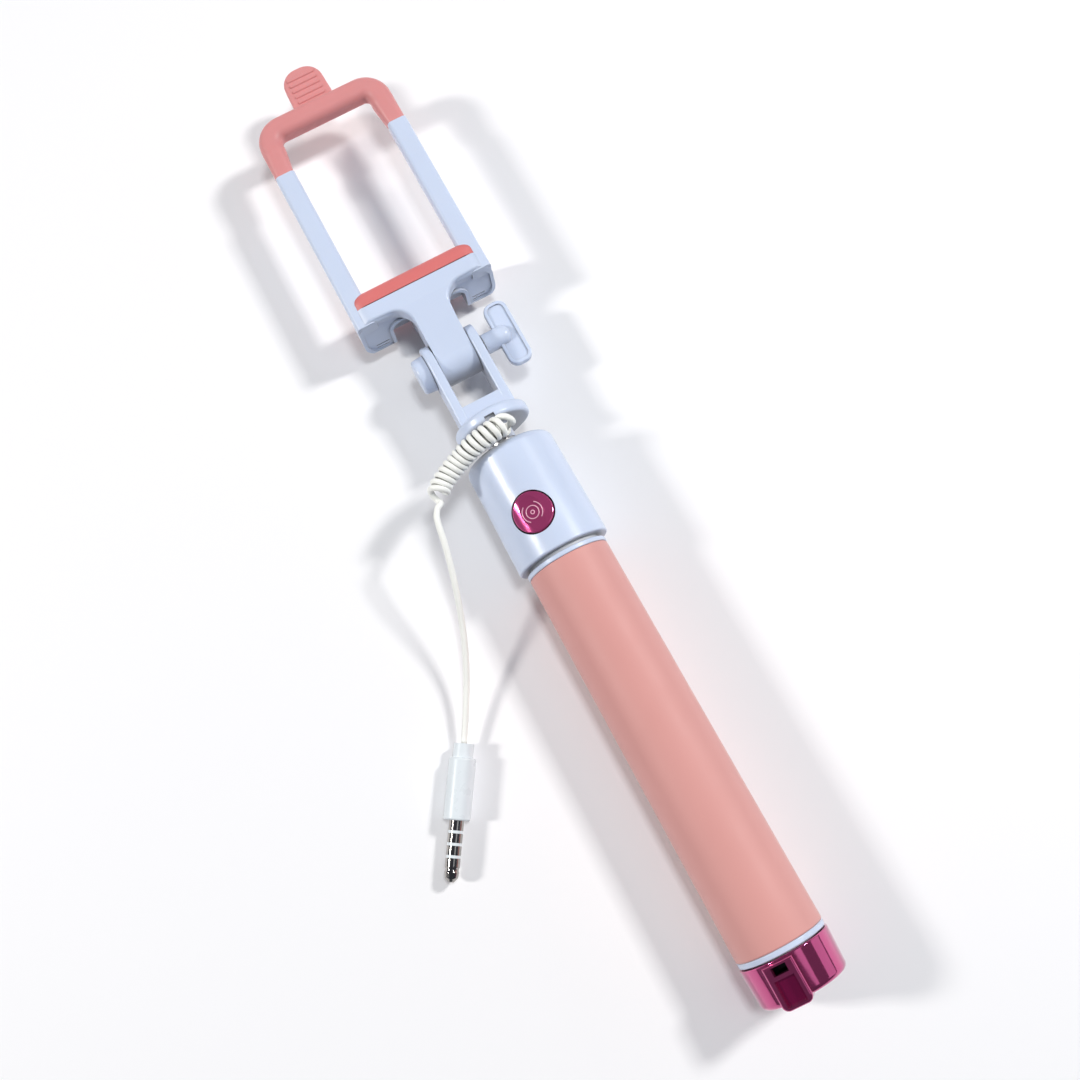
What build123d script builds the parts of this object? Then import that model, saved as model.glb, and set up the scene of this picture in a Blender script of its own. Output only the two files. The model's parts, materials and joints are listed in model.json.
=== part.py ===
from build123d import *
import os
from math import pi, radians, tan

# A wired selfie stick, folded short and lying on a table. Millimetres.
# X runs along the stick towards the phone clamp, Z is up, and the origin is on the
# table under the middle of the stick. "Rolled" parts face up, turned about the stick.

# ---- Driving dimensions -------------------------------------------------------------
STICK_LENGTH = 257.2        # end cap to the tip of the pull tab, folded
AXIS_Z = 11.7               # the housing's widest ring rests on the table

CAP_LENGTH = 10.6
CAP_RADIUS = 10.95
CAP_ROLL = 20.0             # degrees towards +Y
END_RING_LENGTH = 1.6
GRIP_LENGTH = 97.1
GRIP_FRONT_RADIUS = 10.25
GRIP_REAR_RADIUS = 10.7
FRONT_RING_LENGTH = 1.2
HOUSING_GROOVE = 0.9
HOUSING_LENGTH = 28.8
HOUSING_BASE_RADIUS = AXIS_Z
HOUSING_MOUTH_RADIUS = 11.3
HOUSING_BORE = 10.1
CORE_RADIUS = 9.0
CORE_BORE = 7.8

BUTTON_FROM_BASE = 10.1
BUTTON_RADIUS = 4.9
BUTTON_GAP = 0.35
BUTTON_ROLL = 14.0
BUTTON_PROUD = 0.25

FIXED_TUBE_RADIUS = 7.75
TUBE_WALL = 0.4
TUBE_STEP = 0.8             # each section is this much smaller in radius
SECTION_COUNT = 5
SECTION_TRAVEL = 98.0
FRONT_STEP = 0.7            # each section's front end stands this far out of the last
LIP_LENGTH = 2.5
BUSH_LENGTH = 10.0
FIT = 0.05                  # radial clearance of a running fit

FLANGE_RADIUS = 9.6
FLANGE_THICKNESS = 3.3
FLANGE_FROM_MOUTH = 6.3
ROOT_LENGTH = 3.9
EAR_INNER = 4.8
EAR_OUTER = 7.2
EAR_RADIUS = 6.2
ROOT_HALF_HEIGHT = 5.4
PIN_FROM_FORK_FLOOR = 13.7
BOLT_RADIUS = 1.5
NECK_BORE = 1.9

BARREL_RADIUS = 5.4
BARREL_HALF_WIDTH = 4.65
JAW_REAR_FROM_PIN = 13.8
JAW_HALF_WIDTH = 18.35
JAW_BOTTOM = 3.8
JAW_TOP = 19.2
JAW_THICKNESS = 6.3
JAW_CORNER = 5.0
JAW_LEAN = 2.0
JAW_RIM = 0.9
JAW_DISH = 0.6
PAD_THICKNESS = 4.2
PAD_ROUNDING = 2.7

RAIL_Y = 15.75              # centre line of each rail
RAIL_WIDTH = 5.2
RAIL_TOP = 18.4
RAIL_HEIGHT = 4.6
RAIL_BORE = 1.55
ROD_RADIUS = 1.1
ROD_HEAD_RADIUS = 1.5
GAP_AT_REST = 48.3          # pad to hook bar
HOOK_LEG_LENGTH = 10.4
HOOK_BAR = 5.9
HOOK_LEG_WIDTH = 4.8        # where a leg meets its rail
HOOK_BOTTOM = 12.6
HOOK_TOP = 18.2
HOOK_LEG_TOP = 17.35        # likewise
HOOK_HALF_WIDTH = 18.3
HOOK_BEND = 4.3             # centre line of the bar's two bends
HOOK_ROUNDING = 2.1
TAB_HALF_WIDTH = 5.4
TAB_THICKNESS = 2.4
RIB_COUNT = 5
RIB_PITCH = 1.7

WING_HALF_LENGTH = 8.75
WING_INNER = 11.3           # distances from the middle plane
WING_OUTER = 17.5
WING_HALF_THICKNESS = 1.0
WING_DISH = 0.45
BOSS_RADIUS = 2.6
INSERT_RADIUS = 2.1

# Distances from the stick's axis, in the button's rolled frame.
BOARD_BOTTOM = 7.85
BOARD_TOP = 8.45
SWITCH_TOP = 8.95
STEM_TOP = 9.5
WIRE_SEAT = 8.3

CORD_DIA = 1.5
COIL_DIA = 5.6
CABLE_DIA = 5.2             # of the curly cable inside the sections
JACK_RADIUS = 1.75
JACK_LENGTH = 14.0
PLUG_RADIUS = 3.2
COLLAR_RADIUS = 2.4

# ---- Stations along X ---------------------------------------------------------------
REAR = -STICK_LENGTH / 2
CAP_FRONT = REAR + CAP_LENGTH
RING_FRONT = CAP_FRONT + END_RING_LENGTH
GRIP_FRONT = RING_FRONT + GRIP_LENGTH
FRONT_RING_FRONT = GRIP_FRONT + FRONT_RING_LENGTH
HOUSING_BASE = FRONT_RING_FRONT + HOUSING_GROOVE
HOUSING_MOUTH = HOUSING_BASE + HOUSING_LENGTH
BUTTON_X = HOUSING_BASE + BUTTON_FROM_BASE
FIXED_TUBE_REAR = CAP_FRONT + 8.0
FIXED_TUBE_FRONT = HOUSING_MOUTH - 1.2
FLANGE_REAR = HOUSING_MOUTH + FLANGE_FROM_MOUTH
FLANGE_FRONT = FLANGE_REAR + FLANGE_THICKNESS
FORK_FLOOR = FLANGE_FRONT + ROOT_LENGTH
PIN_X = FORK_FLOOR + PIN_FROM_FORK_FLOOR
JAW_REAR = PIN_X + JAW_REAR_FROM_PIN
JAW_FRONT = JAW_REAR + JAW_THICKNESS
PAD_FRONT = JAW_FRONT + PAD_THICKNESS
BAR_REAR = PAD_FRONT + GAP_AT_REST
BAR_FRONT = BAR_REAR + HOOK_BAR
RAIL_REAR = JAW_REAR + 1.8
RAIL_FRONT = BAR_REAR - HOOK_LEG_LENGTH
FRONT = REAR + STICK_LENGTH
RAIL_Z = RAIL_TOP - RAIL_HEIGHT / 2
ROD_Y = 15.3
ROD_Z = 15.9
ROD_REAR = RAIL_REAR + 12.5
SPRING_REAR = RAIL_REAR + 1.3
CABLE_REAR = CAP_FRONT + 14.0
CABLE_FRONT = 4.4

# ---- The free cord, by hand: (x, y, z) of its centre line ---------------------------
GLAND_X = 16.0
GLAND_REACH = 6.4
COIL_ROUTE = [
    (14.75, -2.9, 22.6), (14.4, -0.6, 24.3), (13.9, 2.9, 25.0), (13.4, 7.7, 23.5),
    (12.5, 11.6, 21.3), (11.3, 14.9, 20.5), (9.8, 17.7, 20.2), (8.1, 19.8, 20.1),
]
LEAD_ROUTE = [
    (7.3, 22.0, 21.4), (2.6, 22.9, 21.3), (-5.0, 24.1, 19.6), (-15.5, 27.1, 14.4),
    (-25.8, 31.0, 9.0), (-36.0, 36.5, 4.8), (-44.5, 41.8, 3.25),
]
PLUG_DIRECTION = (-0.8388, 0.5444, 0.0)
COLLAR_LENGTH = 3.3
PLUG_LENGTH = 14.4
# Lengths of the jack's contacts from the body to the tip, and of the rings between.
SLEEVE_LENGTH = 2.3
RING_LENGTH = 2.15
INSULATOR_LENGTH = 0.65
JACK_START = COLLAR_LENGTH + PLUG_LENGTH


# ---- Helpers ------------------------------------------------------------------------
def save(shape, node):
    export_step(shape, f"parts/{node}.step")


def turned(points, rounding=None):
    """Turn an outline of (x, radius) points about the stick's axis."""
    radii = rounding or [0.0] * len(points)
    face = make_face(FilletPolyline(*points, radius=radii, close=True))
    return Pos(0, 0, AXIS_Z) * revolve(face, Axis.X, 360)


def pipe(x0, x1, outer, inner):
    """A plain round tube on the stick's axis."""
    return turned([(x0, inner), (x1, inner), (x1, outer), (x0, outer)])


def disc(x0, x1, radius):
    """A plain round bar on the stick's axis."""
    return turned([(x0, 0), (x1, 0), (x1, radius), (x0, radius)])


def block(x0, x1, y0, y1, z0, z1):
    """A box given by its two ends along each axis."""
    centre = Pos((x0 + x1) / 2, (y0 + y1) / 2, (z0 + z1) / 2)
    return centre * Box(x1 - x0, y1 - y0, z1 - z0)


def rolled(angle):
    """Frame on the stick's axis whose Z is turned towards +Y by the angle."""
    return Pos(0, 0, AXIS_Z) * Rot(-angle, 0, 0)


def along_y(x, z, y0, y1, radius):
    """A round bar along Y."""
    return Pos(x, (y0 + y1) / 2, z) * Rot(90, 0, 0) * Cylinder(radius, y1 - y0)


def along_x(y, z, x0, x1, radius):
    """A round bar along X."""
    return Pos((x0 + x1) / 2, y, z) * Rot(0, 90, 0) * Cylinder(radius, x1 - x0)


def bar_between(start, end, radius):
    """A round bar from one point to another."""
    return sweep(Plane(origin=start, z_dir=Vector(*end) - Vector(*start)) * Circle(radius),
                 Line(start, end))


def side_plate(points, radii, y0, y1):
    """A plate drawn as (x, z) points and thickened along Y from y0 to y1."""
    face = make_face(FilletPolyline(*points, radius=radii, close=True))
    return Pos(0, y1, 0) * Rot(90, 0, 0) * extrude(face, y1 - y0)


def plan_plate(points, radii, z0, z1):
    """A plate drawn as (x, y) points and thickened along Z."""
    face = make_face(FilletPolyline(*points, radius=radii, close=True))
    return Pos(0, 0, z0) * extrude(face, z1 - z0)


def facing_x(x, y, z):
    """Frame whose sketches stand across the stick: sketch x along Y, sketch y along Z."""
    return Plane(origin=(x, y, z), x_dir=(0, 1, 0), z_dir=(1, 0, 0))


def end_plate(half_width, bottom, top, corner, x0, x1):
    """A rounded rectangle across the stick, thickened along X."""
    sketch = RectangleRounded(2 * half_width, top - bottom, corner)
    return facing_x(x0, 0, (bottom + top) / 2) * extrude(sketch, x1 - x0)


def mirrored(points, radii):
    """Close a half outline by its mirror image in the stick's middle plane."""
    return points + [(x, -y) for x, y in reversed(points)], radii + radii[::-1]


def round_route(points):
    """A route of straight runs joined by tangent arcs, and the arc radii."""
    radii = []
    for a, b, c in zip(points, points[1:], points[2:]):
        into, out = Vector(*b) - Vector(*a), Vector(*c) - Vector(*b)
        turn = radians(into.get_angle(out))
        radii.append(0.45 * min(into.length, out.length) / tan(turn / 2))
    return FilletPolyline(*points, radius=radii), radii


def cord_tube(points, dia, name):
    """A round tube along a route, with its measured length printed."""
    route, radii = round_route(points)
    ends = Plane(origin=points[0], z_dir=Vector(*points[1]) - Vector(*points[0]))
    solid = sweep(ends * Circle(dia / 2), route)
    print(name, "length", round(route.length, 2), "radii", [round(r, 1) for r in radii],
          "volume", round(solid.volume, 2),
          "expected", round(route.length * pi * dia ** 2 / 4, 2))
    return solid


# ---- Handle -------------------------------------------------------------------------
def end_cap():
    shell = turned(
        [(REAR + 0.9, 0), (REAR + 0.9, 10.5), (CAP_FRONT, CAP_RADIUS), (CAP_FRONT, 7.7),
         (CAP_FRONT + 6, 7.7), (CAP_FRONT + 6, 6.2), (REAR + 3.6, 6.2), (REAR + 3.6, 0)],
        [0, 1.3, 0.3, 0, 0, 0, 0, 0])
    saddle = block(REAR, CAP_FRONT - 0.5, -3.7, 3.7, 6.6, 11.7)
    saddle = fillet(saddle.edges().filter_by(Axis.Z).group_by(Axis.X)[0], 1.6)
    saddle = fillet(saddle.faces().sort_by(Axis.Z)[-1].edges(), 0.7)
    panel = block(REAR + 0.8, CAP_FRONT - 3.9, -2.4, 2.4, 10.5, 13)
    window = block(CAP_FRONT - 3.0, CAP_FRONT - 1.1, -1.8, 1.8, 7.4, 13)
    channel = block(REAR - 1, CAP_FRONT - 1.1, -1.4, 1.4, 7.4, 9.3)
    return shell + rolled(CAP_ROLL) * saddle - rolled(CAP_ROLL) * (panel + window + channel)


def handle_core():
    core = pipe(CAP_FRONT, HOUSING_BASE + 3.1, CORE_RADIUS, CORE_BORE)
    groove = block(FIXED_TUBE_REAR - 3, HOUSING_BASE + 4, -0.6, 0.6, 7.5, 8.85)
    return core - rolled(BUTTON_ROLL) * groove


def grip_sleeve():
    return turned(
        [(RING_FRONT, CORE_RADIUS + 0.02), (RING_FRONT, GRIP_REAR_RADIUS),
         (GRIP_FRONT, GRIP_FRONT_RADIUS), (GRIP_FRONT, CORE_RADIUS + 0.02)],
        [0, 0.4, 0.4, 0])


def thin_ring(x0, x1, radius):
    return turned([(x0, CORE_RADIUS + 0.02), (x0, radius), (x1, radius), (x1, CORE_RADIUS + 0.02)],
                  [0, 0.3, 0.3, 0])


def fixed_tube():
    bore = FIXED_TUBE_RADIUS - TUBE_WALL
    lip = FIXED_TUBE_RADIUS - TUBE_STEP + FIT
    return turned([(FIXED_TUBE_REAR, bore), (FIXED_TUBE_FRONT - LIP_LENGTH, bore),
                   (FIXED_TUBE_FRONT - LIP_LENGTH, lip), (FIXED_TUBE_FRONT, lip),
                   (FIXED_TUBE_FRONT, FIXED_TUBE_RADIUS), (FIXED_TUBE_REAR, FIXED_TUBE_RADIUS)])


def button_housing():
    collar = FIXED_TUBE_RADIUS + 0.02
    shell = turned(
        [(HOUSING_BASE, CORE_RADIUS + 0.02), (HOUSING_BASE, HOUSING_BASE_RADIUS),
         (HOUSING_MOUTH, HOUSING_MOUTH_RADIUS), (HOUSING_MOUTH, 8.9),
         (HOUSING_MOUTH - 2.6, 8.9), (HOUSING_MOUTH - 2.6, collar),
         (HOUSING_MOUTH - 5.4, collar), (HOUSING_MOUTH - 5.4, HOUSING_BORE),
         (HOUSING_BASE + 3.2, HOUSING_BORE), (HOUSING_BASE + 3.2, CORE_RADIUS + 0.02)],
        [0, 0.5, 1.9, 0.3, 0, 0, 0, 0, 0, 0])
    hole = rolled(BUTTON_ROLL) * Pos(BUTTON_X, 0, 11) * Cylinder(BUTTON_RADIUS + BUTTON_GAP, 6)
    return shell - hole


# ---- Shutter switch, in the button's rolled frame -----------------------------------
def shutter_button():
    barrel = Pos(BUTTON_X, 0, STEM_TOP) * Cylinder(
        BUTTON_RADIUS, 4, align=(Align.CENTER, Align.CENTER, Align.MIN))
    crown = Pos(0, 0, -AXIS_Z) * disc(BUTTON_X - 6, BUTTON_X + 6, HOUSING_MOUTH_RADIUS + 0.2 + BUTTON_PROUD)
    cap = barrel & crown
    face = fillet(cap.edges().filter_by(GeomType.CIRCLE, reverse=True).group_by(Axis.Z)[-1], 0.3)
    dish = Pos(BUTTON_X, 0, 11.75 + 14.0) * Sphere(14.6)
    tabs = block(BUTTON_X - 6.1, BUTTON_X + 6.1, -1.5, 1.5, STEM_TOP, STEM_TOP + 0.45)
    return rolled(BUTTON_ROLL) * (face - dish + tabs)


def circuit_board():
    return rolled(BUTTON_ROLL) * block(BUTTON_X - 5.4, BUTTON_X + 6.4, -3.6, 3.6, BOARD_BOTTOM, BOARD_TOP)


def tact_switch():
    body = block(BUTTON_X - 2.2, BUTTON_X + 2.2, -2.2, 2.2, BOARD_TOP, SWITCH_TOP)
    return rolled(BUTTON_ROLL) * (body - Pos(BUTTON_X, 0, SWITCH_TOP) * Cylinder(1.05, 2))


def switch_stem():
    stem = Cylinder(0.95, STEM_TOP - SWITCH_TOP + 0.05, align=(Align.CENTER, Align.CENTER, Align.MIN))
    return rolled(BUTTON_ROLL) * Pos(BUTTON_X, 0, SWITCH_TOP - 0.05) * stem


def resistors():
    chips = [block(BUTTON_X + x, BUTTON_X + x + 0.8, y - 0.8, y + 0.8, BOARD_TOP, BOARD_TOP + 0.4)
             for x, y in ((-4.6, 1.6), (-4.6, -1.6), (3.4, 0.0))]
    return rolled(BUTTON_ROLL) * Compound(children=chips)


def switch_wire():
    """From the board back along the core's groove, then in to the coiled cable."""
    turn_x = FIXED_TUBE_REAR - 1.0
    route = FilletPolyline((BUTTON_X - 5.5, 0, WIRE_SEAT), (turn_x, 0, WIRE_SEAT), (turn_x, 0, 0),
                           (CABLE_REAR, 0, 0), radius=[1.0, 1.0])
    start = Plane(origin=(BUTTON_X - 5.5, 0, WIRE_SEAT), z_dir=(-1, 0, 0))
    return rolled(BUTTON_ROLL) * sweep(start * Circle(0.45), route)


# ---- Telescopic sections ------------------------------------------------------------
def section_radius(number):
    return FIXED_TUBE_RADIUS - TUBE_STEP * number


def section_front(number):
    return FIXED_TUBE_FRONT + FRONT_STEP * number


def section_rear(number):
    """So far back that its bush meets the next larger tube's lip after the travel."""
    return section_front(number - 1) - LIP_LENGTH - 0.3 - SECTION_TRAVEL - BUSH_LENGTH


def section_tube(number):
    outer = section_radius(number)
    bore = outer - TUBE_WALL
    front = section_front(number)
    rear = section_rear(number)
    if number < SECTION_COUNT:
        lip = outer - TUBE_STEP + FIT
        return turned([(rear, bore), (front - LIP_LENGTH, bore), (front - LIP_LENGTH, lip),
                       (front, lip), (front, outer), (rear, outer)])
    # The smallest section has a rolled bead that holds the fork's turning shank.
    return turned([(rear, bore), (front - 4.9, bore), (front - 4.9, bore - 0.3),
                   (front - 3.9, bore - 0.3), (front - 3.9, bore), (front, bore),
                   (front, outer), (rear, outer)])


def section_bush(number):
    outer = section_radius(number - 1) - TUBE_WALL - FIT
    rear = section_rear(number)
    return pipe(rear, rear + BUSH_LENGTH, outer, section_radius(number) + 0.02)


# ---- Fork at the top of the stick ---------------------------------------------------
def clevis():
    neck = section_radius(SECTION_COUNT)
    shank = neck - TUBE_WALL - FIT
    front = section_front(SECTION_COUNT)
    turned_part = turned(
        [(CABLE_FRONT + 1.2, NECK_BORE), (CABLE_FRONT + 1.2, shank), (front - 5.2, shank),
         (front - 5.2, shank - 0.45), (front - 3.6, shank - 0.45), (front - 3.6, shank),
         (front + 0.15, shank), (front + 0.15, neck), (FLANGE_REAR, neck),
         (FLANGE_REAR, FLANGE_RADIUS), (FLANGE_FRONT, FLANGE_RADIUS), (FLANGE_FRONT, 0),
         (GLAND_X + 1.3, 0), (GLAND_X + 1.3, NECK_BORE)],
        [0, 0.4, 0, 0, 0, 0, 0, 0, 0.6, 1.0, 1.2, 0, 0, 0])
    root = block(FLANGE_FRONT - 0.2, FORK_FLOOR, -EAR_OUTER, EAR_OUTER,
                 AXIS_Z - ROOT_HALF_HEIGHT, AXIS_Z + ROOT_HALF_HEIGHT)
    ears = fork_ear(EAR_INNER) + fork_ear(-EAR_OUTER)
    body = turned_part + root + ears
    body -= along_y(PIN_X, AXIS_Z, -10, 10, BOLT_RADIUS + FIT)
    body -= gland_bar(0, 8, 1.3)
    notch = Rot(-3, 0, 0) * block(FLANGE_REAR - 1, FLANGE_REAR + 1.3, -1.3, 1.3, 8.2, 12)
    return body - Pos(0, 0, AXIS_Z) * notch


def fork_ear(y0):
    thickness = EAR_OUTER - EAR_INNER
    x0 = FLANGE_FRONT - 0.2
    strap = make_face(Polyline((x0, -ROOT_HALF_HEIGHT), (PIN_X, -EAR_RADIUS), (PIN_X, EAR_RADIUS),
                               (x0, ROOT_HALF_HEIGHT), close=True))
    outline = strap + Pos(PIN_X, 0) * Circle(EAR_RADIUS)
    ear = Pos(0, y0 + thickness, AXIS_Z) * Rot(90, 0, 0) * extrude(outline, thickness)
    rim = ear.edges().filter_by(lambda e: e.center().X > FORK_FLOOR + 1 and abs(e.length) > 8)
    return fillet(rim, 0.55)


def gland_point(distance):
    """A point on the cord gland's line, which runs from the neck to the coil."""
    start, coil = Vector(GLAND_X, 0, AXIS_Z), Vector(*COIL_ROUTE[0])
    return tuple(start + (coil - start).normalized() * distance)


def gland_bar(d0, d1, radius):
    return bar_between(gland_point(d0), gland_point(d1), radius)


def cord_gland():
    """A soft sleeve in the neck's side hole, where the cord comes out."""
    sleeve = gland_bar(2.6, GLAND_REACH, 1.28) + gland_bar(4.4, GLAND_REACH - 0.6, 1.6)
    return sleeve - gland_bar(2.0, GLAND_REACH + 1, CORD_DIA / 2)


def cord_tail():
    """The cord's first straight stretch, from inside the neck to the coil."""
    reach = (Vector(*COIL_ROUTE[0]) - Vector(GLAND_X, 0, AXIS_Z)).length
    return gland_bar(2.2, reach, CORD_DIA / 2)


def hinge_bolt():
    shank = along_y(PIN_X, AXIS_Z, -12.4, 8.4, BOLT_RADIUS)
    head = Pos(PIN_X, 8.2, AXIS_Z) * Rot(-90, 0, 0) * extrude(RegularPolygon(3.1, 6), 1.7)
    return shank + head


def bolt_cap():
    """A round cover over the bolt's head, pocketed for it."""
    face = make_face(FilletPolyline((0, 7.25), (4.7, 7.25), (4.35, 10.6), (0, 10.6),
                                    radius=[0, 0.2, 0.9, 0], close=True))
    cover = Pos(PIN_X, 0, AXIS_Z) * revolve(face, Axis.Y, 360)
    pocket = along_y(PIN_X, AXIS_Z, 7.0, 9.95, 3.15)
    return cover - pocket


def lock_washer():
    return along_y(PIN_X, AXIS_Z, -7.75, -7.25, 2.9) - along_y(PIN_X, AXIS_Z, -9, -6, 1.6)


# ---- Wing nut -----------------------------------------------------------------------
def wing_nut():
    boss = along_y(PIN_X, AXIS_Z, -15.0, -7.85, BOSS_RADIUS)
    boss = fillet(boss.edges().group_by(Axis.Y)[0], 1.8)
    wing = plate_wing(0.0)
    dish = plate_wing(0.9)
    web = fillet(wing.edges().filter_by(Axis.Z, reverse=True), 0.4)
    depth = 2 * WING_HALF_THICKNESS - WING_DISH
    web -= Pos(0, 0, depth) * dish + Pos(0, 0, -depth) * dish
    return web + boss - along_y(PIN_X, AXIS_Z, -12.8, -7, INSERT_RADIUS)


def plate_wing(inset):
    """A flat wing in the plane through the hinge axis, drawn in all round by the inset."""
    width = WING_OUTER - WING_INNER
    sketch = RectangleRounded(2 * (WING_HALF_LENGTH - inset), width - 2 * inset, 2.4 - inset)
    middle = Pos(PIN_X, -(WING_INNER + WING_OUTER) / 2, AXIS_Z - WING_HALF_THICKNESS)
    return middle * extrude(sketch, 2 * WING_HALF_THICKNESS)


def nut_insert():
    return along_y(PIN_X, AXIS_Z, -12.8, -8.2, INSERT_RADIUS) - along_y(
        PIN_X, AXIS_Z, -14, -7, BOLT_RADIUS + FIT)


# ---- Clamp jaw ----------------------------------------------------------------------
def jaw_body():
    body = jaw_plate() + jaw_shelf() - jaw_hollows() + jaw_neck()
    body -= along_y(PIN_X, AXIS_Z, -6, 6, BOLT_RADIUS + FIT)
    return body - rail_pockets() - rear_slits()


def rear_slits():
    """Two short vent slits low on each half of the rear face."""
    x = JAW_REAR + JAW_DISH
    slits = [block(x - 1, x + 0.9, side * 13.6 - 1.8, side * 13.6 + 1.8, z, z + 0.35)
             for side in (-1, 1) for z in (5.6, 6.7)]
    return slits[0].fuse(*slits[1:])


def jaw_plate():
    """The wide plate: its rear face leans and is a shallow panel inside a rim."""
    plate = end_plate(JAW_HALF_WIDTH, JAW_BOTTOM, JAW_TOP, JAW_CORNER, JAW_REAR - 1, JAW_FRONT)
    profile = side_plate(
        [(JAW_REAR, JAW_BOTTOM), (JAW_REAR + JAW_LEAN, JAW_TOP), (JAW_FRONT, JAW_TOP),
         (JAW_FRONT, JAW_BOTTOM)],
        [1.6, 1.8, 0.4, 0.4], -JAW_HALF_WIDTH, JAW_HALF_WIDTH)
    inset = end_plate(JAW_HALF_WIDTH - JAW_RIM, JAW_BOTTOM + JAW_RIM, JAW_TOP - 2 * JAW_RIM,
                      JAW_CORNER - JAW_RIM, JAW_REAR - 1, JAW_FRONT)
    front = side_plate(
        [(JAW_REAR + JAW_DISH, JAW_BOTTOM), (JAW_REAR + JAW_DISH + JAW_LEAN, JAW_TOP),
         (JAW_FRONT + 1, JAW_TOP), (JAW_FRONT + 1, JAW_BOTTOM)],
        [0, 0, 0, 0], -JAW_HALF_WIDTH, JAW_HALF_WIDTH)
    panel = inset - front - jaw_arches(2 * JAW_RIM)
    return (plate & profile) - panel


def jaw_neck():
    """The tongue from the barrel, between the fork's ears, to the plate."""
    tongue = side_plate(
        [(PIN_X, AXIS_Z - BARREL_RADIUS), (PIN_X, AXIS_Z + BARREL_RADIUS), (JAW_REAR + 1.5, JAW_TOP),
         (JAW_FRONT - 1, JAW_TOP), (JAW_FRONT - 1, JAW_BOTTOM + 4.2), (JAW_REAR, JAW_BOTTOM + 4.2)],
        [0, 0, 0, 0, 0, 0], -BARREL_HALF_WIDTH, BARREL_HALF_WIDTH)
    barrel = along_y(PIN_X, AXIS_Z, -BARREL_HALF_WIDTH, BARREL_HALF_WIDTH, BARREL_RADIUS)
    return barrel + tongue


def jaw_shelf():
    """The top web, which spreads from the tongue to the plate in two round inside corners."""
    half = [(PIN_X + 6.5, BARREL_HALF_WIDTH), (JAW_REAR + 1.9, BARREL_HALF_WIDTH + 0.6),
            (JAW_REAR + 2.3, JAW_HALF_WIDTH - 0.6), (JAW_FRONT - 1, JAW_HALF_WIDTH - 0.6)]
    points, radii = mirrored(half, [0, 5.0, 1.5, 0])
    web = plan_plate(points, radii, JAW_TOP - 4.2, JAW_TOP + 1)
    rise = side_plate(
        [(PIN_X, AXIS_Z), (PIN_X, AXIS_Z + BARREL_RADIUS), (JAW_REAR + 1.5, JAW_TOP),
         (JAW_FRONT, JAW_TOP), (JAW_FRONT, AXIS_Z)],
        [0, 0, 0, 0, 0], -JAW_HALF_WIDTH, JAW_HALF_WIDTH)
    web &= rise
    web &= end_plate(JAW_HALF_WIDTH, JAW_BOTTOM, JAW_TOP, JAW_CORNER, PIN_X, JAW_FRONT)
    rear = web.edges().filter_by(lambda e: PIN_X + 12 < e.center().X < JAW_REAR + 3)
    return fillet(rear.filter_by(lambda e: e.center().Z > JAW_TOP - 0.5), 0.7)


def jaw_arches(grow):
    """A round-topped shape each side of the tongue, up from below the plate's lower edge."""
    arch = SlotOverall(22 + grow, 5.4 + grow, rotation=90)
    bars = [facing_x(JAW_REAR - 6, side * 7.4, 2.0) * extrude(arch, 10.2) for side in (-1, 1)]
    return bars[0] + bars[1]


def jaw_hollows():
    return jaw_arches(0)


def rail_outline(grow):
    return RectangleRounded(RAIL_WIDTH + 2 * grow, RAIL_HEIGHT + 2 * grow, 1.1)


def rail_bar(side, x0, x1, grow=0.0):
    return facing_x(x0, side * RAIL_Y, RAIL_Z) * extrude(rail_outline(grow), x1 - x0)


def rail_pockets():
    return rail_bar(-1, RAIL_REAR, PAD_FRONT + 1, 0.04) + rail_bar(1, RAIL_REAR, PAD_FRONT + 1, 0.04)


def jaw_pad():
    pad = end_plate(JAW_HALF_WIDTH - 0.2, JAW_BOTTOM + 0.2, JAW_TOP + 0.1, JAW_CORNER, JAW_FRONT, PAD_FRONT)
    pad = fillet(pad.faces().sort_by(Axis.X)[-1].edges(), PAD_ROUNDING)
    return pad - rail_pockets()


def rail(side):
    """A hollow guide with a narrower mouth that the rod runs through."""
    bar = rail_bar(side, RAIL_REAR, RAIL_FRONT)
    bore = along_x(side * ROD_Y, ROD_Z, RAIL_REAR + 1.2, RAIL_FRONT - 4.0, RAIL_BORE)
    mouth = along_x(side * ROD_Y, ROD_Z, RAIL_FRONT - 5.0, RAIL_FRONT + 1, ROD_RADIUS + FIT)
    return bar - bore - mouth


# ---- Hook ---------------------------------------------------------------------------
def hook():
    """A well rounded bar bent to a U, with a pull tab in front."""
    leg_y = HOOK_HALF_WIDTH - HOOK_BAR / 2
    bar_x = BAR_REAR + HOOK_BAR / 2
    bend_x = BAR_REAR - 3.0
    middle = (HOOK_BOTTOM + HOOK_TOP) / 2
    route = FilletPolyline((bend_x, -leg_y, middle), (bar_x, -leg_y, middle), (bar_x, leg_y, middle),
                           (bend_x, leg_y, middle), radius=HOOK_BEND)
    bar = sweep(hook_section(-1, bend_x, HOOK_BAR, HOOK_TOP, HOOK_ROUNDING), route)
    return bar + hook_leg(-1) + hook_leg(1) + pull_tab() - rod_hole(-1) - rod_hole(1)


def hook_section(side, x, width, top, rounding):
    """A section across a leg, flush with the hook's side and bottom."""
    place = facing_x(x, side * (HOOK_HALF_WIDTH - width / 2), (HOOK_BOTTOM + top) / 2)
    return place * RectangleRounded(width, top - HOOK_BOTTOM, rounding)


def hook_leg(side):
    """A leg, slimmer and squarer where it meets its rail."""
    low = hook_section(side, RAIL_FRONT + 0.1, HOOK_LEG_WIDTH, HOOK_LEG_TOP, 1.2)
    high = hook_section(side, BAR_REAR - 3.0, HOOK_BAR, HOOK_TOP, HOOK_ROUNDING)
    return loft([low, high])


def rim_edges(shape, from_x):
    """The level edges whose middles lie in front of from_x."""
    return shape.edges().filter_by(lambda e: e.center().X > from_x and abs(e.tangent_at(0.5).Z) < 0.1)


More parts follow.
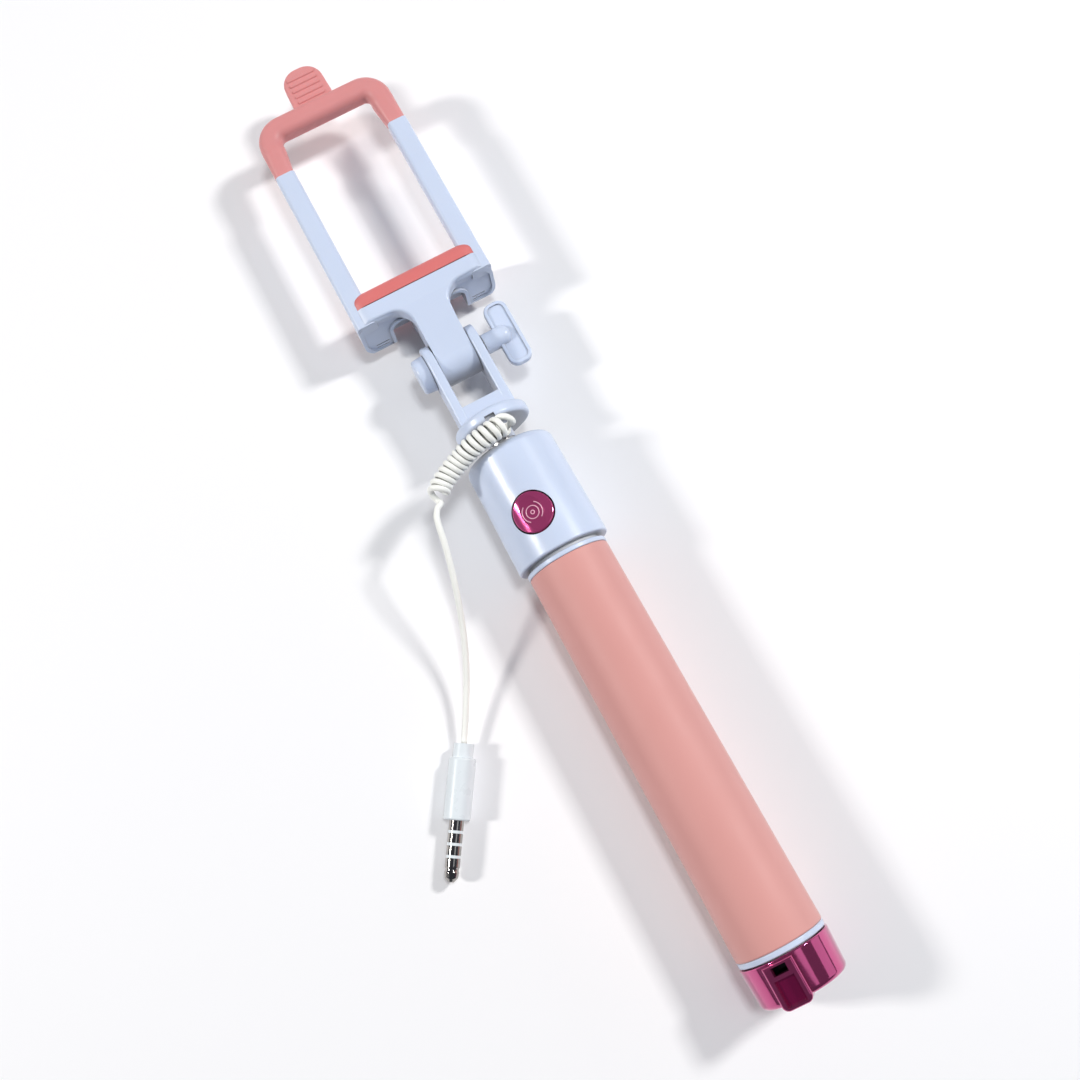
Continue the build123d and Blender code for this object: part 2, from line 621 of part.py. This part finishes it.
def pull_tab():
    half = [(BAR_FRONT - 1.5, TAB_HALF_WIDTH + 0.2), (FRONT, TAB_HALF_WIDTH - 0.3)]
    points, radii = mirrored(half, [0, 4.6])
    bottom = HOOK_BOTTOM + 0.3
    tab = plan_plate(points, radii, bottom, bottom + TAB_THICKNESS)
    tab = fillet(rim_edges(tab, BAR_FRONT), 0.6)
    for number in range(RIB_COUNT):
        x = BAR_FRONT + 1.8 + RIB_PITCH * number
        tab += Pos(x, 0, bottom + TAB_THICKNESS - 0.05) * Rot(90, 0, 0) * Cylinder(0.42, 7.4)
    return tab


def rod_hole(side):
    return along_x(side * ROD_Y, ROD_Z, RAIL_FRONT - 1, BAR_REAR - 0.8, ROD_RADIUS + 0.01)


def rod(side):
    shank = along_x(side * ROD_Y, ROD_Z, ROD_REAR, BAR_REAR - 0.8, ROD_RADIUS)
    return shank + along_x(side * ROD_Y, ROD_Z, ROD_REAR, ROD_REAR + 1.6, ROD_HEAD_RADIUS)


def clamp_spring(side):
    """An extension spring drawn as a closed coil, one bead per turn."""
    turns = 11
    pitch = (ROD_REAR - 0.2 - SPRING_REAR) / turns
    beads = [along_x(side * ROD_Y, ROD_Z, SPRING_REAR, ROD_REAR - 0.2, 1.1)]
    for number in range(turns):
        x = SPRING_REAR + pitch * (number + 0.5)
        beads.append(along_x(side * ROD_Y, ROD_Z, x - pitch * 0.36, x + pitch * 0.36, 1.4))
    spring = beads[0].fuse(*beads[1:])
    return spring - along_x(side * ROD_Y, ROD_Z, SPRING_REAR - 1, ROD_REAR + 1, 0.7)


# ---- Plug ---------------------------------------------------------------------------
def plug_point(distance):
    return tuple(Vector(*LEAD_ROUTE[-1]) + Vector(*PLUG_DIRECTION) * distance)


def plug_bar(d0, d1, radius):
    return bar_between(plug_point(d0), plug_point(d1), radius)


def plug_body():
    body = plug_bar(COLLAR_LENGTH, JACK_START, PLUG_RADIUS)
    return fillet(body.edges().filter_by(GeomType.CIRCLE), 0.5)


def plug_contacts():
    """The jack's sleeve and two rings, and the insulating rings between them."""
    contacts, insulators = [], []
    place = JACK_START
    for length in (SLEEVE_LENGTH, RING_LENGTH, RING_LENGTH):
        contacts.append(plug_bar(place, place + length, JACK_RADIUS))
        place += length
        insulators.append(plug_bar(place, place + INSULATOR_LENGTH, JACK_RADIUS))
        place += INSULATOR_LENGTH
    return contacts, insulators, place


def plug_tip(start):
    """The tip: straight, with a shallow waist and a blunt round end."""
    end = JACK_START + JACK_LENGTH
    waist = JACK_RADIUS - 0.2
    profile = [(start, 0), (start, JACK_RADIUS), (start + 2.0, JACK_RADIUS), (start + 2.4, waist),
               (start + 2.8, waist), (start + 3.2, JACK_RADIUS - 0.03), (end - 1.0, 1.55),
               (end, 0.7), (end, 0)]
    radii = [0, 0, 0.2, 0.2, 0.2, 0.3, 0.7, 0.4, 0]
    face = make_face(FilletPolyline(*profile, radius=radii, close=True))
    frame = Plane(origin=LEAD_ROUTE[-1], x_dir=PLUG_DIRECTION, z_dir=(0, 0, 1))
    return frame * revolve(face, Axis.X, 360)


# ---- Build --------------------------------------------------------------------------
def main():
    os.makedirs("parts", exist_ok=True)

    save(end_cap(), "end_cap")
    save(thin_ring(CAP_FRONT + 0.25, RING_FRONT, GRIP_REAR_RADIUS - 0.05), "end_ring")
    save(grip_sleeve(), "grip_sleeve")
    save(handle_core(), "handle_core")
    save(fixed_tube(), "fixed_tube")
    save(thin_ring(GRIP_FRONT, FRONT_RING_FRONT, GRIP_FRONT_RADIUS + 0.1), "front_ring")
    save(button_housing(), "button_housing")
    save(circuit_board(), "circuit_board")
    save(tact_switch(), "tact_switch")
    save(resistors(), "resistors")
    save(switch_wire(), "switch_wire")
    save(disc(CABLE_REAR, CABLE_FRONT, CABLE_DIA / 2), "inner_cable")
    save(shutter_button(), "shutter_button")
    save(switch_stem(), "switch_stem")

    for number in range(1, SECTION_COUNT + 1):
        save(section_tube(number), f"section_{number}_tube")
        save(section_bush(number), f"section_{number}_bush")

    save(clevis(), "clevis")
    save(hinge_bolt(), "hinge_bolt")
    save(bolt_cap(), "bolt_cap")
    save(lock_washer(), "lock_washer")
    save(wing_nut(), "wing_nut")
    save(nut_insert(), "nut_insert")

    save(jaw_body(), "jaw_body")
    save(jaw_pad(), "jaw_pad")
    for side, name in ((1, "left"), (-1, "right")):
        save(rail(side), f"rail_{name}")
        save(clamp_spring(side), f"spring_{name}")
        save(rod(side), f"rod_{name}")
    save(hook(), "hook")

    save(cord_gland(), "cord_gland")
    save(cord_tail(), "cord_tail")
    save(cord_tube(COIL_ROUTE, COIL_DIA, "coil"), "cord_coil")
    save(cord_tube(LEAD_ROUTE, CORD_DIA, "lead"), "cord_lead")
    save(plug_bar(0, COLLAR_LENGTH, COLLAR_RADIUS), "plug_collar")
    save(plug_body(), "plug_body")
    contacts, insulators, tip_start = plug_contacts()
    for contact, name in zip(contacts, ("plug_sleeve", "plug_ring_2", "plug_ring_1")):
        save(contact, name)
    save(Compound(children=insulators), "plug_insulators")
    save(plug_tip(tip_start), "plug_tip")


main()
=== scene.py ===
import json
from math import cos, pi, radians, sin

import bpy
from mathutils import Euler, Matrix, Vector


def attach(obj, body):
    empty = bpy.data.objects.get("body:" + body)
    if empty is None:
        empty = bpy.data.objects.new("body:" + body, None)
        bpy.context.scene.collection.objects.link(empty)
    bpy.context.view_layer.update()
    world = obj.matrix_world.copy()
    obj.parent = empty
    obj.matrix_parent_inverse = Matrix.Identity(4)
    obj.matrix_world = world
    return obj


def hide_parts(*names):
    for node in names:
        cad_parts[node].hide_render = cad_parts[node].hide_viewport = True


# The look of a wired selfie stick that lies folded on a table. Metres, in the CAD frame.
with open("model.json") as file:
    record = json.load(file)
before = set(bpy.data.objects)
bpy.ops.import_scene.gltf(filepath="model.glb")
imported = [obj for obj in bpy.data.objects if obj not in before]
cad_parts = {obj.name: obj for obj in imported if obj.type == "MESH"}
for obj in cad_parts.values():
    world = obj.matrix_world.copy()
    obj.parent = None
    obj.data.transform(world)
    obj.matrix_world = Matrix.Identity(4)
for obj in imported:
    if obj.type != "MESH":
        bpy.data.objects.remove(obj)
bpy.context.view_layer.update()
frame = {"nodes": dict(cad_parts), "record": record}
MM = 0.001

# ---- Camera, floor and light --------------------------------------------------------
CAMERA_PLACE = (-0.07589, 0.02858, 0.3056)
CAMERA_TURN = (13.166, 1.622, 241.799)      # degrees
CAMERA_LENS = 42.33                         # for a sensor 36 mm wide
FLOOR_HALF_SIZE = 3.0
FLOOR_DROP = 0.1 * MM                       # keeps the floor off the faces that lie on it
FLOOR_COLOR = (0.93, 0.93, 0.95, 1)
# Name, direction from the stick, distance, size, power and colour. Three small keys cast
# the crossed shadows; large dim panels fill and reflect.
LIGHTS = [
    ("right_key", (0.07, -0.95, 1.0), 1.1, (0.12, 0.14), 6.4, (1.0, 0.98, 0.95)),
    ("left_key", (0.5, 1.23, 1.0), 1.2, (0.13, 0.15), 7.0, (1.0, 0.965, 0.92)),
    ("high_key", (0.0, -0.13, 1.0), 1.3, (0.2, 0.2), 5.2, (0.95, 0.98, 1.0)),
    ("top_panel", (-0.1, -0.42, 1.0), 1.3, (0.7, 0.42), 0.7, (0.92, 0.96, 1.0)),
    ("right_panel", (-0.1, -1.0, 0.3), 1.1, (1.2, 0.5), 1.4, (0.95, 0.96, 1.0)),
    ("left_panel", (-0.1, 1.0, 0.3), 1.1, (1.2, 0.5), 0.25, (0.9, 0.94, 1.0)),
]
SKY_COLOR = (0.72, 0.80, 1.0, 1)
SKY_STRENGTH = 0.085

# ---- Surfaces -----------------------------------------------------------------------
NOISE_MIDDLE = (0.3, 0.7)                   # where most values of a noise node lie
PAINTED_SHADE_FADE = (0.2, 0.75)                  # open share of the sky over which the painted shade fades, from fully painted to clear
# Painted shade: the white plastic turns this darker grey where other surfaces stand close.
PLASTIC_PAINTED_SHADE = (0.38, 0.385, 0.41, 1)
PLASTIC_PAINTED_SHADE_REACH = 12 * MM
# Painted shade: the cord turns this dark tone in the narrow gaps between its coil's turns.
CORD_PAINTED_SHADE = (0.2, 0.195, 0.18, 1)
CORD_PAINTED_SHADE_REACH = 1.5 * MM
CAP_PANEL_COLOR = (0.6, 0.022, 0.18, 1)
CAP_WINDOW_COLOR = (0.01, 0.008, 0.009, 1)
MIX_FACTOR, MIX_LOW, MIX_HIGH, MIX_RESULT = 0, 6, 7, 2      # a colour mix node's sockets
# Colour, its spread, roughness, the grain's scale and height, and the clouds' scale.
PLAIN_MOULDED = {
    "button_mark": ((0.78, 0.42, 0.55), 0.05, 0.25, 900, 0.005 * MM, 200.0),
    "inner_plastic": ((0.6, 0.62, 0.66), 0.02, 0.5, 1500, 0.02 * MM, 60.0),
    "bush": ((0.8, 0.8, 0.77), 0.02, 0.45, 1500, 0.02 * MM, 60.0),
    "board": ((0.03, 0.16, 0.07), 0.1, 0.35, 2000, 0.02 * MM, 300.0),
    "black_plastic": ((0.012, 0.012, 0.014), 0.1, 0.4, 1500, 0.02 * MM, 60.0),
    "plug_plastic": ((0.78, 0.84, 0.88), 0.012, 0.3, 1200, 0.01 * MM, 60.0),
}
# Colour, roughness and whether it has fine lines along X.
METALS = {
    "steel": ((0.62, 0.62, 0.64), 0.25, True),
    "plated_steel": ((0.56, 0.56, 0.57), 0.3, False),
    "brass": ((0.75, 0.55, 0.24), 0.3, False),
    "jack": ((0.42, 0.40, 0.38), 0.14, False),
}

# ---- Measures that repeat the CAD part's --------------------------------------------
AXIS_Z = 11.7 * MM
REAR = -128.6 * MM
CAP_ROLL = 20.0                             # degrees about the stick, towards +Y
CAP_WALL = 1.0 * MM
CAP_PANEL_HALF_WIDTH = 2.38 * MM
CAP_PANEL_TOP = 10.7 * MM                   # from the stick's axis, as the window's top
CAP_WINDOW_TOP = 9.9 * MM
BUTTON_X = -7.1 * MM
BUTTON_ROLL = 14.0                          # degrees about the stick, towards +Y
BUTTON_TOP = 11.2 * MM                      # the dish's floor, from the stick's axis
BUTTON_DISH_RADIUS = 14.6 * MM

# ---- The button's mark --------------------------------------------------------------
MARK_HALF_THICKNESS = 0.13 * MM
MARK_RING = 1.55 * MM
MARK_DOT = 0.45 * MM
MARK_ARCS = 2.45 * MM

# ---- The cord -----------------------------------------------------------------------
CORD_DIA = 1.5 * MM
TAIL_LENGTH = 1.2 * MM                      # straight stretch that leaves the gland
COIL_RADIUS = 2.05 * MM                     # from the coil's centre line to the strand's
COIL_PITCH = 1.61 * MM
COIL_START = 60.0                           # degrees round the route
LOOSE_START = 2.4 * MM                      # the coil's first turn is pulled apart
OPEN_TURN = 0.65                            # turns that open out at each end of the coil
OPEN_LENGTH = 5.0 * MM                      # their length along the route
POINTS_PER_TURN = 14
# Routes in millimetres, from the gland to the plug's collar.
GLAND_MOUTH = (15.3, -1.6, 17.85)
TAIL_BEND = (15.3, -3.6, 20.2)
COIL_ROUTE = [
    (14.75, -2.9, 22.6), (14.4, -0.6, 24.3), (13.9, 2.9, 25.0), (13.4, 7.7, 23.5),
    (12.5, 11.6, 21.3), (11.3, 14.9, 20.5), (9.8, 17.7, 20.2), (8.1, 19.8, 20.1),
]
LEAD_ROUTE = [
    (2.6, 22.9, 21.3), (-5.0, 24.1, 19.6), (-15.5, 27.1, 14.4),
    (-25.8, 31.0, 9.0), (-36.0, 36.5, 4.8), (-44.5, 41.8, 3.25),
]


def metres(points):
    return [Vector(point) * MM for point in points]


# ---- Camera, floor and light --------------------------------------------------------
def add_object(name, data):
    made = bpy.data.objects.new(name, data)
    bpy.context.collection.objects.link(made)
    return made


def make_camera():
    data = bpy.data.cameras.new("camera")
    data.sensor_width = 36.0
    data.lens = CAMERA_LENS
    data.clip_start = 0.01
    camera = add_object("camera", data)
    camera.location = CAMERA_PLACE
    camera.rotation_euler = Euler([radians(turn) for turn in CAMERA_TURN])
    bpy.context.scene.camera = camera


def make_floor():
    mesh = bpy.data.meshes.new("floor")
    half = FLOOR_HALF_SIZE
    corners = [(-half, -half, 0), (half, -half, 0), (half, half, 0), (-half, half, 0)]
    mesh.from_pydata(corners, [], [(0, 1, 2, 3)])
    floor = add_object("floor", mesh)
    floor.location.z = -FLOOR_DROP
    material = new_material("floor")
    surface = shader(material)
    surface.inputs["Base Color"].default_value = FLOOR_COLOR
    surface.inputs["Roughness"].default_value = 0.6
    mesh.materials.append(material)


def area_light(name, direction, distance, size, power, color):
    """A soft box that looks at the stick from a direction."""
    data = bpy.data.lights.new(name, "AREA")
    data.shape = "RECTANGLE"
    data.size, data.size_y = size
    data.energy = power
    data.color = color
    light = add_object(name, data)
    towards = Vector(direction).normalized()
    light.location = towards * distance
    light.rotation_euler = towards.to_track_quat("Z", "Y").to_euler()
    return light


def make_lights():
    lights = {row[0]: area_light(*row) for row in LIGHTS}
    # Its reflection would draw a hard line along the barrel.
    lights["high_key"].visible_glossy = False
    world = bpy.data.worlds.new("world")
    bpy.context.scene.world = world
    world.use_nodes = True
    background = world.node_tree.nodes["Background"]
    background.inputs["Color"].default_value = SKY_COLOR
    background.inputs["Strength"].default_value = SKY_STRENGTH
    bpy.context.scene.view_settings.view_transform = "Standard"


# ---- Shader nodes -------------------------------------------------------------------
def new_material(name):
    material = bpy.data.materials.new(name)
    material.use_nodes = True
    return material


def shader(material):
    return material.node_tree.nodes["Principled BSDF"]


def node(material, kind, **values):
    """A new node, with values for its inputs or its settings by name."""
    made = material.node_tree.nodes.new(kind)
    for key, value in values.items():
        if key in made.inputs:
            made.inputs[key].default_value = value
        else:
            setattr(made, key, value)
    return made


def link(material, source, output, target, socket):
    material.node_tree.links.new(source.outputs[output], target.inputs[socket])


def noise(material, scale, detail=3.0, roughness=0.5):
    """Noise in the object's own space, scale in features a metre."""
    place = node(material, "ShaderNodeTexCoord")
    made = node(material, "ShaderNodeTexNoise", Scale=scale, Detail=detail, Roughness=roughness)
    link(material, place, "Object", made, "Vector")
    return made


def tones(material, source, color, low, high):
    """Lays two shades of a colour across the middle of a noise node's range."""
    made = node(material, "ShaderNodeValToRGB")
    for element, place, amount in zip(made.color_ramp.elements, NOISE_MIDDLE, (low, high)):
        element.position = place
        element.color = tuple(c * amount for c in color) + (1.0,)
    link(material, source, "Fac", made, "Fac")
    link(material, made, "Color", shader(material), "Base Color")


def map_range(material, source, output, start=(0.0, 1.0), end=(0.0, 1.0)):
    """Stretches a node's output from the start range to the end range."""
    limits = {"From Min": start[0], "From Max": start[1], "To Min": end[0], "To Max": end[1]}
    made = node(material, "ShaderNodeMapRange", **limits)
    link(material, source, output, made, "Value")
    return made


def bump(material, source, strength, distance):
    """Raises the surface by a node's first output."""
    made = node(material, "ShaderNodeBump", Strength=strength, Distance=distance)
    link(material, source, 0, made, "Height")
    link(material, made, "Normal", shader(material), "Normal")


def calc(material, operation, first, second=None, output=0):
    """A math node on a node's output and either a number or another node's first output."""
    made = node(material, "ShaderNodeMath", operation=operation)
    link(material, first, output, made, 0)
    if isinstance(second, (int, float)):
        made.inputs[1].default_value = second
    elif second is not None:
        link(material, second, 0, made, 1)
    return made


def all_of(material, *masks):
    """A mask that is 1 where each of the masks is 1."""
    total = masks[0]
    for mask in masks[1:]:
        total = calc(material, "MULTIPLY", total, mask)
    return total


def own_tint(material):
    """The socket that feeds the material's base colour."""
    return shader(material).inputs["Base Color"].links[0].from_socket


def mix_tint(material, share, low, high):
    """Mixes the base colour by a node's first output; low and high are colours or sockets."""
    mix = node(material, "ShaderNodeMix", data_type="RGBA")
    link(material, share, 0, mix, MIX_FACTOR)
    for socket, color in ((MIX_LOW, low), (MIX_HIGH, high)):
        if isinstance(color, tuple):
            mix.inputs[socket].default_value = color
        else:
            material.node_tree.links.new(color, mix.inputs[socket])
    link(material, mix, MIX_RESULT, shader(material), "Base Color")


def paint(material, where, color):
    """Lays a colour over the material's own wherever a mask node gives 1."""
    mix_tint(material, where, own_tint(material), color)


def paint_shade_in_hollows(material, color, reach):
    """Paints shade where other surfaces stand close: a darker, greyer tone in hollows and
    creases.
    """
    open_share = node(material, "ShaderNodeAmbientOcclusion", Distance=reach, samples=8)
    share = map_range(material, open_share, "AO", start=PAINTED_SHADE_FADE)
    mix_tint(material, share, color, own_tint(material))


# ---- Materials ----------------------------------------------------------------------
def mottled(name, color, spread, rough, grain_scale, grain, cloud_scale):
    """A moulded surface: clouded colour, uneven roughness and a fine grain."""
    material = new_material(name)
    tones(material, noise(material, cloud_scale, 4.0), color, 1 - spread, 1 + spread)
    patches = noise(material, cloud_scale * 6)
    gloss = map_range(material, patches, "Fac", NOISE_MIDDLE, (rough * 0.85, rough * 1.15))
    link(material, gloss, "Result", shader(material), "Roughness")
    bump(material, noise(material, grain_scale, 4.0, 0.6), 0.5, grain)
    return material


def metal(name, color, rough, brushed):
    """Drawn or plated metal, with fine lines along X when brushed."""
    material = new_material(name)
    surface = shader(material)
    surface.inputs["Metallic"].default_value = 1.0
    place = node(material, "ShaderNodeTexCoord")
    stretch = node(material, "ShaderNodeMapping", Scale=(0.05 if brushed else 1.0, 1, 1))
    link(material, place, "Object", stretch, "Vector")
    lines = node(material, "ShaderNodeTexNoise", Scale=2500, Detail=3)
    link(material, stretch, "Vector", lines, "Vector")
    tones(material, lines, color, 0.88, 1.06)
    gloss = map_range(material, lines, "Fac", end=(rough * 0.7, rough * 1.3))
    link(material, gloss, "Result", surface, "Roughness")
    bump(material, lines, 0.3, 0.01 * MM)
    return material


def adjust(material, **values):
    """Sets inputs of the material's shader; an underscore stands for a space."""
    for key, value in values.items():
        shader(material).inputs[key.replace("_", " ")].default_value = value
    return material


def white_plastic():
    material = mottled("white_plastic", (0.60, 0.68, 0.85), 0.012, 0.33, 900, 0.012 * MM, 60.0)
    # Painted shade in the plastic's hollows, creases and faces near the table.
    paint_shade_in_hollows(material, PLASTIC_PAINTED_SHADE, PLASTIC_PAINTED_SHADE_REACH)
    return adjust(material, Coat_Weight=0.12, Coat_Roughness=0.2, Subsurface_Weight=0.08,
                  Subsurface_Radius=(0.6, 0.8, 1.0), Subsurface_Scale=1.0 * MM)


def magenta_chrome(name, metal_share):
    """Metallised magenta plastic under a clear coat."""
    material = mottled(name, (0.60, 0.08, 0.25), 0.04, 0.09, 700, 0.006 * MM, 90.0)
    return adjust(material, Metallic=metal_share, Coat_Weight=0.8, Coat_Roughness=0.03)


def cap_chrome():
    """The end cap's plating: wine red in the recessed panel and bare black in the window."""
    material = magenta_chrome("magenta_chrome", 0.85)
    place = node(material, "ShaderNodeTexCoord")
    turned = node(material, "ShaderNodeVectorRotate", rotation_type="X_AXIS",
                  Angle=radians(CAP_ROLL), Center=(0, 0, AXIS_Z))
    link(material, place, "Object", turned, "Vector")
    axes = node(material, "ShaderNodeSeparateXYZ")
    link(material, turned, 0, axes, 0)
    aside = calc(material, "ABSOLUTE", axes, output="Y")
    in_width = calc(material, "LESS_THAN", aside, CAP_PANEL_HALF_WIDTH)
    past_wall = calc(material, "GREATER_THAN", axes, REAR + CAP_WALL, output="X")
    under_panel = calc(material, "LESS_THAN", axes, AXIS_Z + CAP_PANEL_TOP, output="Z")
    over_window = calc(material, "GREATER_THAN", axes, AXIS_Z + CAP_WINDOW_TOP, output="Z")
    in_window = calc(material, "LESS_THAN", axes, AXIS_Z + CAP_WINDOW_TOP, output="Z")
    panel = all_of(material, in_width, past_wall, under_panel, over_window)
    paint(material, panel, CAP_PANEL_COLOR)
    paint(material, all_of(material, in_width, past_wall, in_window), CAP_WINDOW_COLOR)
    return material


def grip_rubber():
    material = mottled("grip", (0.70, 0.335, 0.31), 0.02, 0.52, 3500, 0.02 * MM, 25.0)
    return adjust(material, Sheen_Weight=0.25, Sheen_Roughness=0.5, Specular_IOR_Level=0.35)


def silicone(name, color):
    material = mottled(name, color, 0.03, 0.42, 2600, 0.02 * MM, 50.0)
    return adjust(material, Subsurface_Weight=0.15, Subsurface_Radius=(1.0, 0.4, 0.3),
                  Subsurface_Scale=1.5 * MM, Specular_IOR_Level=0.4)


def cord_skin():
    material = mottled("cord", (0.95, 0.96, 0.92), 0.02, 0.38, 1500, 0.01 * MM, 120.0)
    # Painted shade in the gaps between the coil's turns.
    paint_shade_in_hollows(material, CORD_PAINTED_SHADE, CORD_PAINTED_SHADE_REACH)
    return adjust(material, Specular_IOR_Level=0.4)


def make_materials():
    made = {
        "white_plastic": white_plastic(),
        "magenta_chrome": cap_chrome(),
        "button_chrome": magenta_chrome("button_chrome", 0.6),
        "grip": grip_rubber(),
        "coral_silicone": silicone("coral_silicone", (0.70, 0.285, 0.285)),
        "pad_silicone": silicone("pad_silicone", (0.70, 0.19, 0.185)),
        "cord": cord_skin(),
    }
    for name, values in PLAIN_MOULDED.items():
        made[name] = mottled(name, *values)
    for name, values in METALS.items():
        made[name] = metal(name, *values)
    return made


def dress_cad_nodes(materials):
    """Gives every CAD node the material of its slot in the record."""
    slots = {part["node"]: part["material_slot"] for part in frame["record"]["subparts"]}
    # The pad is a redder silicone than the hook.
    slots["jaw_pad"] = "pad_silicone"
    for name, piece in frame["nodes"].items():
        for holder in piece.material_slots:
            holder.material = materials[slots[name]]


# ---- The button's mark --------------------------------------------------------------
def button_frame():
    """Frame on the button's dish, Z outwards."""
    roll = Matrix.Rotation(radians(-BUTTON_ROLL), 4, "X")
    centre = Matrix.Translation((BUTTON_X, 0, AXIS_Z))
    return centre @ roll @ Matrix.Translation((0, 0, BUTTON_TOP))


def raised_line(data, points, closed):
    """Adds a smooth raised line through flat points (x, y), following the dish."""
    spline = data.splines.new("NURBS")
    spline.points.add(len(points) - 1)
    for point, (x, y) in zip(spline.points, points):
        point.co = (x, y, (x * x + y * y) / (2 * BUTTON_DISH_RADIUS), 1)
    spline.order_u = 3
    spline.use_cyclic_u = closed
    spline.use_endpoint_u = not closed


def arc(radius, start, end, count):
    """Flat points on an arc from one angle to another, in degrees."""
    angles = [radians(start + (end - start) * i / (count - 1)) for i in range(count)]
    return [(radius * cos(a), radius * sin(a)) for a in angles]


def make_button_mark(materials):
    """A raised ring, a dot and two arcs on the shutter button."""
    data = bpy.data.curves.new("button_mark", "CURVE")
    data.dimensions = "3D"
    data.resolution_u = 6
    data.bevel_depth = MARK_HALF_THICKNESS
    data.bevel_resolution = 3
    raised_line(data, arc(MARK_RING, 0, 345, 24), closed=True)
    raised_line(data, arc(MARK_DOT, 0, 330, 12), closed=True)
    raised_line(data, arc(MARK_ARCS, 35, 145, 12), closed=False)
    raised_line(data, arc(MARK_ARCS, 215, 325, 12), closed=False)
    mark = add_object("button_mark", data)
    mark.matrix_world = button_frame()
    data.materials.append(materials["button_mark"])
    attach(mark, "button")


# ---- The cord -----------------------------------------------------------------------
def nurbs_curve(name, points, resolution):
    """A curve object with one smooth open spline through its end points."""
    data = bpy.data.curves.new(name, "CURVE")
    data.dimensions = "3D"
    data.resolution_u = resolution
    spline = data.splines.new("NURBS")
    spline.points.add(len(points) - 1)
    for point, place in zip(spline.points, points):
        point.co = (*place, 1)
    spline.order_u = 3
    spline.use_endpoint_u = True
    return add_object(name, data)


def route_line(points):
    """Points read from the smooth line of a route, and their distances along it."""
    curve = nurbs_curve("route", points, 8)
    bpy.context.view_layer.update()
    mesh = bpy.data.meshes.new_from_object(curve)
    line = [vertex.co.copy() for vertex in mesh.vertices]
    bpy.data.objects.remove(curve)
    along = [0.0]
    for a, b in zip(line, line[1:]):
        along.append(along[-1] + (b - a).length)
    return line, along


def point_at(line, along, distance):
    """The place and direction at a distance along a line."""
    last = len(line) - 2
    for i in range(last + 1):
        if along[i + 1] >= distance or i == last:
            step = line[i + 1] - line[i]
            share = (distance - along[i]) / max(along[i + 1] - along[i], 1e-9)
            return line[i] + step * share, step.normalized()


def nearest(line, along, place):
    """The distance along a line of its point closest to a place."""
    return min(zip(line, along), key=lambda pair: (pair[0] - place).length)[1]


def helix(line, along):
    """The coil's close turns, with a part of a turn that opens out at each end."""
    ends = metres([COIL_ROUTE[0], COIL_ROUTE[-1]])
    start, end = (nearest(line, along, place) for place in ends)
    start += LOOSE_START
    turns = (end - start) / COIL_PITCH + 2 * OPEN_TURN
    points = []
    side = Vector((0, 0, 1))
    for i in range(int(turns * POINTS_PER_TURN) + 1):
        turn = i / POINTS_PER_TURN
        share = min(1.0, turn / OPEN_TURN, (turns - turn) / OPEN_TURN)
        if turn < OPEN_TURN:
            distance = start - OPEN_LENGTH * (1 - share)
        elif turn < turns - OPEN_TURN:
            distance = start + (turn - OPEN_TURN) * COIL_PITCH
        else:
            distance = end + OPEN_LENGTH * (1 - share)
        centre, direction = point_at(line, along, distance)
        side = (side - direction * side.dot(direction)).normalized()
        up = direction.cross(side)
        angle = radians(COIL_START) + 2 * pi * turn
        radius = COIL_RADIUS * share * share * (3 - 2 * share)
        points.append(centre + (side * cos(angle) + up * sin(angle)) * radius)
    return points


def make_cord(materials):
    mouth, lead = metres([GLAND_MOUTH]), metres(LEAD_ROUTE)
    line, along = route_line(mouth + metres([TAIL_BEND] + COIL_ROUTE) + lead)
    tail = [point_at(line, along, TAIL_LENGTH)[0]]
    cord = nurbs_curve("curly_cord", mouth + tail + helix(line, along) + lead, 4)
    cord.data.bevel_depth = CORD_DIA / 2
    cord.data.bevel_resolution = 5
    cord.data.use_fill_caps = True
    cord.data.materials.append(materials["cord"])
    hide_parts("cord_tail", "cord_coil", "cord_lead")
    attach(cord, "fork")


# ---- Build --------------------------------------------------------------------------
def main():
    make_camera()
    make_floor()
    make_lights()
    materials = make_materials()
    dress_cad_nodes(materials)
    make_button_mark(materials)
    make_cord(materials)


main()
